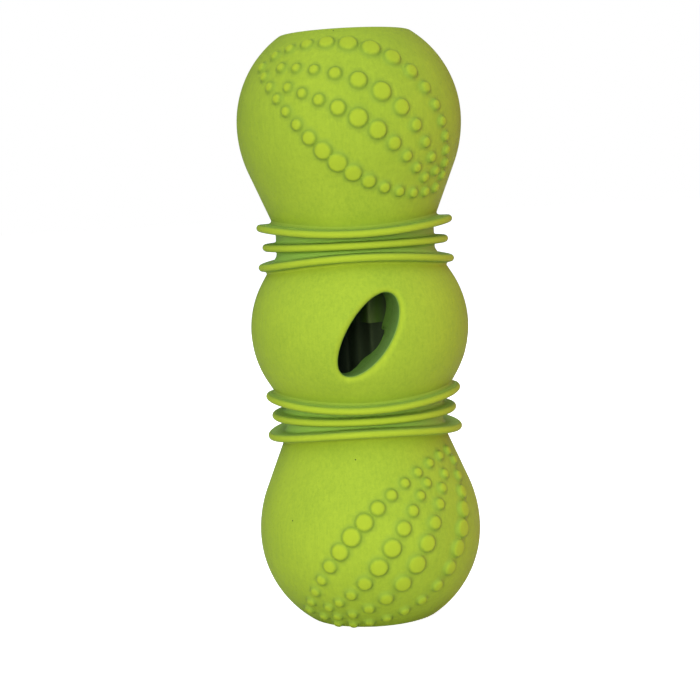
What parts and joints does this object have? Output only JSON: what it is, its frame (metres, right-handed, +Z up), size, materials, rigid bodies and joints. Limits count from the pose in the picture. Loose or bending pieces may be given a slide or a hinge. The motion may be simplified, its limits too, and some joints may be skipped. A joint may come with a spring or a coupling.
{
  "type": "chew toy",
  "caption": "Hollow rubber treat toy for dogs: bulbs in one line with ringed necks, studded ends and a slanted slot into a ribbed hollow.",
  "frame": {"origin": "centre of the lower flat end, where the toy stands", "axes": "+Z up along the line of the bulbs; -Y is the direction in which the slot in the middle bulb opens"},
  "size_m": [0.0626, 0.0652, 0.1649],
  "materials": {
    "green_rubber": "matte lime green with a fine grain",
    "liner_rubber": "matte, a deeper green than the outside"
  },
  "bodies": {
    "root": {"middle_bulb": "green_rubber", "upper_bulb": "green_rubber", "lower_bulb": "green_rubber", "upper_ring_outer": "green_rubber", "upper_ring_middle": "green_rubber", "upper_ring_inner": "green_rubber", "lower_ring_outer": "green_rubber", "lower_ring_middle": "green_rubber", "lower_ring_inner": "green_rubber", "upper_liner": "liner_rubber", "lower_liner": "liner_rubber"}
  },
  "joints": []
}
